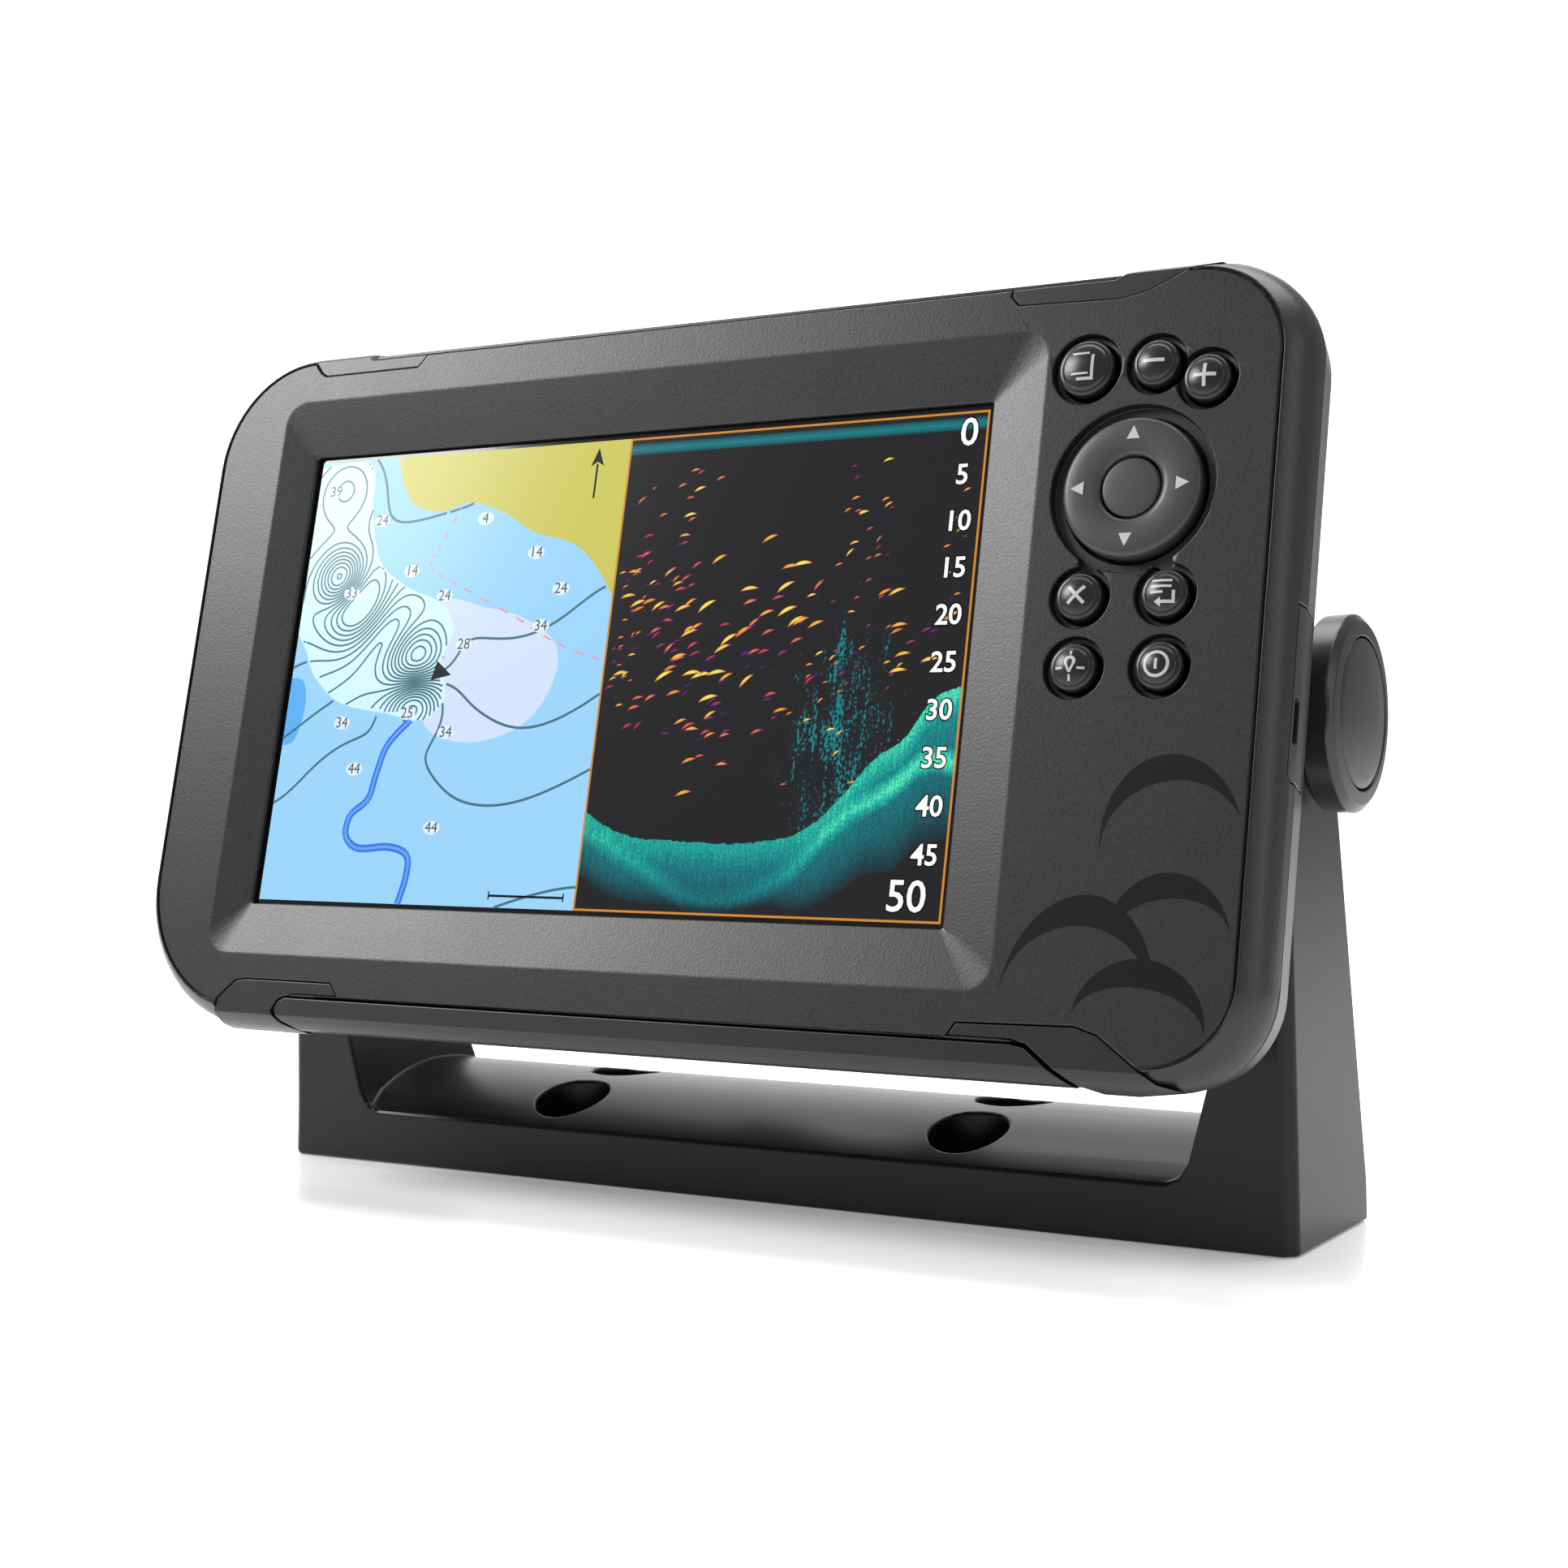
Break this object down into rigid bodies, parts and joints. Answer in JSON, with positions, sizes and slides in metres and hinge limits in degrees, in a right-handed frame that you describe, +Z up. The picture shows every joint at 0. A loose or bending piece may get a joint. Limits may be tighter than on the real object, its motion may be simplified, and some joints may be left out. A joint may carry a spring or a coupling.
{
  "type": "fish finder",
  "caption": "Marine fish finder: a wide-screen head with a keypad on its right, tilting in a U-shaped bracket between clamp knobs.",
  "frame": {"origin": "centre of the bracket's screw pattern on its flat underside", "axes": "+X to the right seen from the front, +Y to the back, +Z up along the screws; the screen faces -Y and leans back"},
  "size_m": [0.243, 0.0846, 0.1703],
  "materials": {
    "housing_plastic": "fine-grained matt moulding",
    "bracket_plastic": "fine-grained satin moulding",
    "trim_plastic": "smooth satin moulding",
    "knob_plastic": "satin moulding",
    "key_plastic": "silky moulded rubber with pale symbols",
    "seal_rubber": "matt",
    "black_plastic": "matt",
    "white_plastic": "satin white",
    "screen_glass": "glossy, over a lit picture",
    "lcd_dark": "glossy",
    "board_green": "lacquered board",
    "ceramic_white": "fired ceramic block",
    "cable_film": "amber film",
    "reader_metal": "pressed sheet",
    "steel": "plain",
    "aluminium": "mill finish",
    "brass": "turned"
  },
  "bodies": {
    "base": {"bracket": "bracket_plastic"},
    "head": {"front_bezel": "housing_plastic", "rear_case": "housing_plastic", "case_gasket": "seal_rubber", "case_screws": "steel", "screen_lens": "screen_glass", "lens_seal": "seal_rubber", "lcd_panel": "lcd_dark", "lcd_backlight": "white_plastic", "heat_spreader": "aluminium", "main_board": "board_green", "board_chips": "black_plastic", "board_screws": "steel", "display_cable": "cable_film", "keypad_board": "board_green", "dome_switches": "steel", "keypad_membrane": "seal_rubber", "keypad_cable": "cable_film", "gps_antenna": "ceramic_white", "buzzer": "black_plastic", "card_reader": "reader_metal", "power_socket": "black_plastic", "power_socket_nut": "black_plastic", "power_pins": "brass", "sonar_socket": "black_plastic", "sonar_socket_nut": "black_plastic", "sonar_pins": "brass", "vent_plug": "black_plastic", "clip_top_left": "trim_plastic", "clip_top_right": "trim_plastic", "clip_bottom_left": "trim_plastic", "clip_bottom_right": "trim_plastic", "top_trim": "trim_plastic", "bottom_trim": "trim_plastic", "insert_left": "brass", "insert_right": "brass", "friction_washer_left": "seal_rubber", "friction_washer_right": "seal_rubber", "door_hinge_pin": "steel"},
    "pages_key_body": {"pages_key": "key_plastic"},
    "zoom_out_key_body": {"zoom_out_key": "key_plastic"},
    "zoom_in_key_body": {"zoom_in_key": "key_plastic"},
    "exit_key_body": {"exit_key": "key_plastic"},
    "menu_key_body": {"menu_key": "key_plastic"},
    "waypoint_key_body": {"waypoint_key": "key_plastic"},
    "power_key_body": {"power_key": "key_plastic"},
    "enter_key_body": {"enter_key": "key_plastic"},
    "cursor_carrier_body": {"cursor_carrier": "black_plastic"},
    "cursor_pad_body": {"cursor_pad": "key_plastic"},
    "door": {"card_door": "housing_plastic", "door_seal": "seal_rubber"},
    "washer_left_body": {"knob_washer_left": "steel"},
    "knob_left_body": {"knob_left": "knob_plastic", "knob_cap_left": "knob_plastic", "stud_left": "steel"},
    "washer_right_body": {"knob_washer_right": "steel"},
    "knob_right_body": {"knob_right": "knob_plastic", "knob_cap_right": "knob_plastic", "stud_right": "steel"}
  },
  "joints": [
    {"name": "head_tilt", "type": "hinge", "parent": "base", "child": "head", "pos_m": [0, -0.009, 0.0933], "axis": [1, 0, 0], "range_deg": [-40, 15]},
    {"name": "washer_right_travel", "type": "slide", "parent": "head", "child": "washer_right_body", "axis": [1, 0, 0], "range_m": [0, 0.00375]},
    {"name": "knob_right_turn", "type": "hinge", "parent": "washer_right_body", "child": "knob_right_body", "pos_m": [0.116, -0.009, 0.0933], "axis": [1, 0, 0], "range_deg": [0, 1080]},
    {"name": "washer_left_travel", "type": "slide", "parent": "head", "child": "washer_left_body", "axis": [-1, 0, 0], "range_m": [0, 0.00375]},
    {"name": "knob_left_turn", "type": "hinge", "parent": "washer_left_body", "child": "knob_left_body", "pos_m": [-0.116, -0.009, 0.0933], "axis": [-1, 0, 0], "range_deg": [0, 1080]},
    {"name": "pages_key_press", "type": "slide", "parent": "head", "child": "pages_key_body", "axis": [0, 0.9764, -0.2158], "range_m": [0, 0.0008], "stiffness_N_per_m": 900, "springref_m": -0.0005},
    {"name": "zoom_out_key_press", "type": "slide", "parent": "head", "child": "zoom_out_key_body", "axis": [0, 0.9764, -0.2158], "range_m": [0, 0.0008], "stiffness_N_per_m": 900, "springref_m": -0.0005},
    {"name": "zoom_in_key_press", "type": "slide", "parent": "head", "child": "zoom_in_key_body", "axis": [0, 0.9764, -0.2158], "range_m": [0, 0.0008], "stiffness_N_per_m": 900, "springref_m": -0.0005},
    {"name": "exit_key_press", "type": "slide", "parent": "head", "child": "exit_key_body", "axis": [0, 0.9764, -0.2158], "range_m": [0, 0.0008], "stiffness_N_per_m": 900, "springref_m": -0.0005},
    {"name": "menu_key_press", "type": "slide", "parent": "head", "child": "menu_key_body", "axis": [0, 0.9764, -0.2158], "range_m": [0, 0.0008], "stiffness_N_per_m": 900, "springref_m": -0.0005},
    {"name": "waypoint_key_press", "type": "slide", "parent": "head", "child": "waypoint_key_body", "axis": [0, 0.9764, -0.2158], "range_m": [0, 0.0008], "stiffness_N_per_m": 900, "springref_m": -0.0005},
    {"name": "power_key_press", "type": "slide", "parent": "head", "child": "power_key_body", "axis": [0, 0.9764, -0.2158], "range_m": [0, 0.0008], "stiffness_N_per_m": 900, "springref_m": -0.0005},
    {"name": "enter_key_press", "type": "slide", "parent": "head", "child": "enter_key_body", "axis": [0, 0.9764, -0.2158], "range_m": [0, 0.0008], "stiffness_N_per_m": 900, "springref_m": -0.0005},
    {"name": "cursor_up_down", "type": "hinge", "parent": "head", "child": "cursor_carrier_body", "pos_m": [0.091, -0.038, 0.12986], "axis": [1, 0, 0], "range_deg": [-3, 3], "stiffness_Nm_per_rad": 0.35},
    {"name": "cursor_left_right", "type": "hinge", "parent": "cursor_carrier_body", "child": "cursor_pad_body", "pos_m": [0.091, -0.038, 0.12986], "axis": [0, 0.2158, 0.9764], "range_deg": [-3, 3], "stiffness_Nm_per_rad": 0.35},
    {"name": "card_door_swing", "type": "hinge", "parent": "head", "child": "door", "pos_m": [0.1176, -0.03549, 0.09438], "axis": [0, 0.2158, 0.9764], "range_deg": [0, 100]}
  ],
  "couplings": [
    {"joint": "washer_right_travel", "follows": "knob_right_turn", "m_per_rad": 0.00019894},
    {"joint": "washer_left_travel", "follows": "knob_left_turn", "m_per_rad": 0.00019894}
  ]
}
